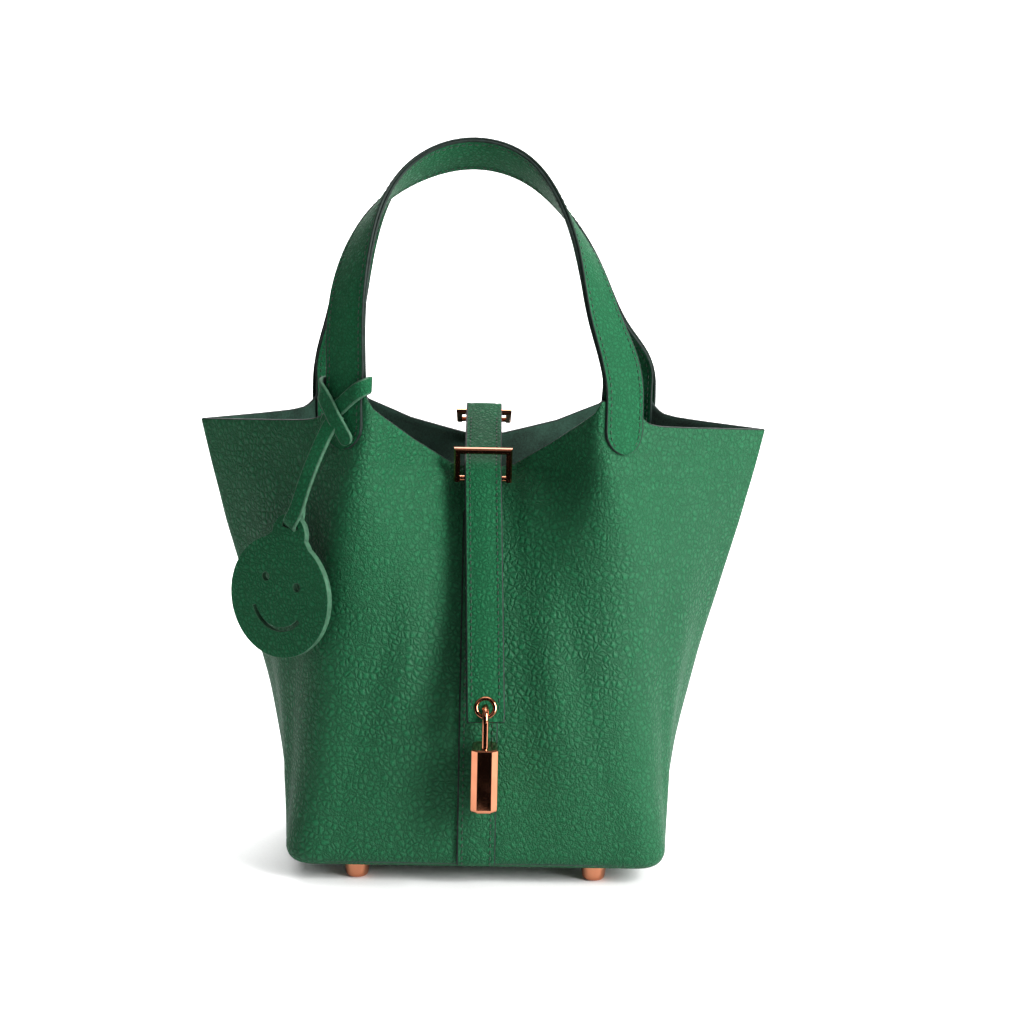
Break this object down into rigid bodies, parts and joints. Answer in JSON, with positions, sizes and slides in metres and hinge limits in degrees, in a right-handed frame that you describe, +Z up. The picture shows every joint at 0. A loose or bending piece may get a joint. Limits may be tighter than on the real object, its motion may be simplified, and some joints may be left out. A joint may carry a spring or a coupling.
{
  "type": "leather bucket handbag",
  "caption": "Bucket handbag with a pinched mouth, two arched handles, a closing strap through two rings, a hanging padlock and a round smiling charm.",
  "frame": {"origin": "centre of the whole bag's footprint, on the surface it stands on", "axes": "+X to the right seen from the front, +Y to the back, +Z up"},
  "size_m": [0.253, 0.1441, 0.3175],
  "materials": {
    "green_leather": "pebbled, semi-matt",
    "rose_gold_metal": "polished",
    "stiffener_board": "plain",
    "suede_lining": "napped"
  },
  "bodies": {
    "root": {"body_left": "green_leather", "body_right": "green_leather", "front_strip": "green_leather", "back_strip": "green_leather", "base_panel": "green_leather", "base_board": "stiffener_board", "base_lining": "suede_lining", "feet": "rose_gold_metal", "foot_washers": "rose_gold_metal", "front_handle_ends_outer": "green_leather", "front_handle_ends_inner": "green_leather", "back_handle_ends_outer": "green_leather", "back_handle_ends_inner": "green_leather", "front_ring_tab": "green_leather", "back_ring_tab": "green_leather", "strap_bridge": "green_leather", "charm_thong_wrap": "green_leather"},
    "front_handle": {"front_handle_outer": "green_leather", "front_handle_inner": "green_leather"},
    "back_handle": {"back_handle_outer": "green_leather", "back_handle_inner": "green_leather"},
    "front_ring": {"front_ring": "rose_gold_metal"},
    "rear_ring": {"rear_ring": "rose_gold_metal"},
    "strap_tail": {"strap_tail": "green_leather", "strap_tail_lining": "green_leather", "eyelet_front": "rose_gold_metal", "eyelet_back": "rose_gold_metal"},
    "shackle": {"padlock_shackle": "rose_gold_metal"},
    "padlock": {"padlock_case": "rose_gold_metal", "padlock_cap": "rose_gold_metal"},
    "key_plug": {"key_plug": "rose_gold_metal", "lock_cam": "rose_gold_metal"},
    "thong": {"charm_thong": "green_leather"},
    "charm": {"charm": "green_leather"}
  },
  "joints": [
    {"name": "front_handle_fold", "type": "hinge", "parent": "root", "child": "front_handle", "pos_m": [0, -0.03923, 0.2225], "axis": [1, 0, 0], "range_deg": [0, 75], "stiffness_Nm_per_rad": 0.04},
    {"name": "back_handle_fold", "type": "hinge", "parent": "root", "child": "back_handle", "pos_m": [0, 0.0491, 0.2225], "axis": [1, 0, 0], "range_deg": [-75, 0], "stiffness_Nm_per_rad": 0.04},
    {"name": "front_ring_tilt", "type": "hinge", "parent": "root", "child": "front_ring", "pos_m": [0, -0.0191, 0.1708], "axis": [1, 0, 0], "range_deg": [-15, 55]},
    {"name": "rear_ring_tilt", "type": "hinge", "parent": "root", "child": "rear_ring", "pos_m": [0, 0.0347, 0.1926], "axis": [1, 0, 0], "range_deg": [-3, 3]},
    {"name": "strap_lift", "type": "hinge", "parent": "root", "child": "strap_tail", "pos_m": [0, -0.024, 0.176], "axis": [1, 0, 0], "range_deg": [-80, 0]},
    {"name": "padlock_tilt", "type": "hinge", "parent": "strap_tail", "child": "shackle", "pos_m": [0.0029, -0.06362, 0.07988], "axis": [1, 0, 0], "range_deg": [-40, 0]},
    {"name": "case_slide", "type": "slide", "parent": "shackle", "child": "padlock", "axis": [0, 0, -1], "range_m": [0, 0.007]},
    {"name": "key_turn", "type": "hinge", "parent": "padlock", "child": "key_plug", "pos_m": [0.0029, -0.06262, 0.045], "axis": [0, 0, 1], "range_deg": [0, 90]},
    {"name": "thong_lift", "type": "hinge", "parent": "root", "child": "thong", "pos_m": [-0.0665, -0.0405, 0.1875], "axis": [-0.8387, 0.5446, 0], "range_deg": [0, 40]},
    {"name": "charm_swing", "type": "hinge", "parent": "thong", "child": "charm", "pos_m": [-0.07964, -0.04292, 0.15173], "axis": [-0.5446, -0.8387, 0], "range_deg": [-8, 8]}
  ]
}
